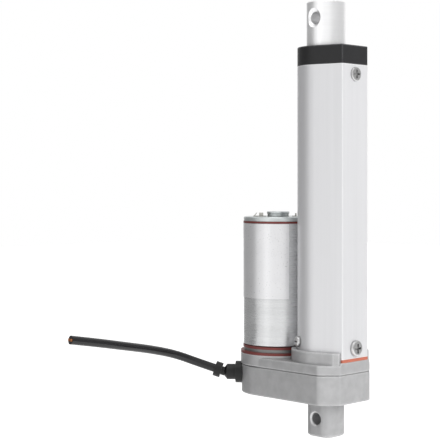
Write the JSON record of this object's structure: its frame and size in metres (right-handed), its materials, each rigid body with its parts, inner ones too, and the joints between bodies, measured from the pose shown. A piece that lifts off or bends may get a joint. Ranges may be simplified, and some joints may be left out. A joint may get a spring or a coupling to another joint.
{
  "type": "electric linear actuator",
  "caption": "Electric linear actuator with a side-mounted motor, enclosed spur gearbox, tapered outer tube, sliding rod and a cross hole at each end.",
  "frame": {"origin": "centre of the rear mounting hole, midway between the post's two flat faces", "axes": "+Z along the rod towards the front mounting hole, -X towards the motor, Y along both mounting holes"},
  "size_m": [0.0972, 0.129, 0.2231],
  "materials": {
    "gearbox_casting": "cast and painted silver grey",
    "zinc_screw": "bright zinc",
    "red_rubber": "smooth silicone",
    "dark_red_rubber": "smooth silicone",
    "anodised_tube": "satin anodised",
    "black_cap": "fine moulded grain",
    "pale_bush": "moulded acetal",
    "black_rubber": "moulded rubber",
    "polished_rod": "ground and satin polished",
    "pale_nylon": "machined acetal",
    "bearing_steel": "ground steel",
    "screw_steel": "rolled and oiled",
    "gear_steel": "sintered steel",
    "spring_steel": "hardened steel",
    "brass_part": "turned brass",
    "bronze_bush": "oil-filled sintered bronze",
    "core_steel": "stacked laminations",
    "copper_wire": "enamelled copper",
    "copper_bar": "bare copper",
    "brown_card": "fibre board",
    "carbon": "pressed carbon",
    "bright_can": "bright plated sheet steel",
    "ferrite": "sintered ferrite",
    "end_cap_zinc": "zinc plated",
    "tinned_lug": "tinned",
    "adapter_steel": "dark plated",
    "silver_label": "satin film, left bare",
    "lead_wire": "wire insulation",
    "green_board": "printed circuit board",
    "red_button": "moulded",
    "black_cable": "extruded jacket"
  },
  "bodies": {
    "housing": {"rear_housing": "gearbox_casting", "gearbox_cover": "gearbox_casting", "case_screws": "zinc_screw", "tube_gasket": "red_rubber", "outer_tube": "anodised_tube", "tube_face_screw": "zinc_screw", "tube_side_screws": "zinc_screw", "front_cap": "black_cap", "cap_screw": "zinc_screw", "rod_bush": "pale_bush", "rod_wiper": "black_rubber", "bearing_outer_races": "bearing_steel", "bearing_circlip": "spring_steel", "idler_axle": "bearing_steel", "idler_washers": "spring_steel", "brush_card": "brown_card", "motor_brushes": "carbon", "brush_springs": "spring_steel", "motor_can": "bright_can", "motor_magnets": "ferrite", "front_motor_bush": "bronze_bush", "rear_motor_bush": "bronze_bush", "motor_end_cap": "end_cap_zinc", "motor_terminals": "tinned_lug", "lower_motor_seal": "dark_red_rubber", "upper_motor_seal": "dark_red_rubber", "top_motor_seal": "dark_red_rubber", "motor_adapter": "adapter_steel", "motor_screws": "zinc_screw", "motor_label": "silver_label", "motor_leads": "lead_wire", "limit_switch_board": "green_board", "limit_switches": "black_cap", "cable_gland": "black_rubber", "power_cord": "black_cable", "cord_cores": "copper_wire"},
    "rod": {"piston_rod": "polished_rod", "drive_nut": "pale_nylon", "nut_pins": "bearing_steel"},
    "screw": {"lead_screw": "screw_steel", "output_gear": "gear_steel", "gear_pin": "bearing_steel", "screw_sleeve": "screw_steel", "screw_clips": "spring_steel", "screw_end_bush": "pale_nylon", "bearing_inner_races": "bearing_steel"},
    "ball_cage": {"bearing_balls": "bearing_steel", "bearing_cages": "brass_part"},
    "idler": {"idler_pinion": "gear_steel", "idler_wheel": "pale_nylon"},
    "rotor": {"motor_pinion": "brass_part", "motor_shaft": "bearing_steel", "armature_core": "core_steel", "armature_windings": "copper_wire", "commutator_sleeve": "black_cap", "commutator_bars": "copper_bar"},
    "lower_button": {"lower_switch_button": "red_button"},
    "upper_button": {"upper_switch_button": "red_button"}
  },
  "joints": [
    {"name": "motor_spin", "type": "hinge", "parent": "housing", "child": "rotor", "pos_m": [-0.03345, 0, 0.065], "axis": [0, 0, -1], "range_deg": [0, 121847.2]},
    {"name": "idler_spin", "type": "hinge", "parent": "housing", "child": "idler", "pos_m": [-0.0192, 0, 0.02], "axis": [0, 0, -1], "range_deg": [-36001, 0]},
    {"name": "screw_spin", "type": "hinge", "parent": "housing", "child": "screw", "pos_m": [0, 0, 0.02], "axis": [0, 0, -1], "range_deg": [0, 12001]},
    {"name": "ball_cage_spin", "type": "hinge", "parent": "housing", "child": "ball_cage", "pos_m": [0, 0, 0.0144], "axis": [0, 0, -1], "range_deg": [0, 4851]},
    {"name": "rod_slide", "type": "slide", "parent": "housing", "child": "rod", "axis": [0, 0, 1], "range_m": [0, 0.1]},
    {"name": "lower_switch_press", "type": "slide", "parent": "housing", "child": "lower_button", "axis": [0, 0, -1], "range_m": [0, 0.0004], "stiffness_N_per_m": 1000, "springref_m": -0.0005},
    {"name": "upper_switch_press", "type": "slide", "parent": "housing", "child": "upper_button", "axis": [0, 0, 1], "range_m": [0, 0.0004], "stiffness_N_per_m": 1000, "springref_m": -0.0005}
  ],
  "couplings": [
    {"joint": "screw_spin", "follows": "rod_slide", "rad_per_m": 2094.4},
    {"joint": "idler_spin", "follows": "rod_slide", "rad_per_m": -6283.2},
    {"joint": "motor_spin", "follows": "rod_slide", "rad_per_m": 21266},
    {"joint": "ball_cage_spin", "follows": "rod_slide", "rad_per_m": 846.48}
  ]
}
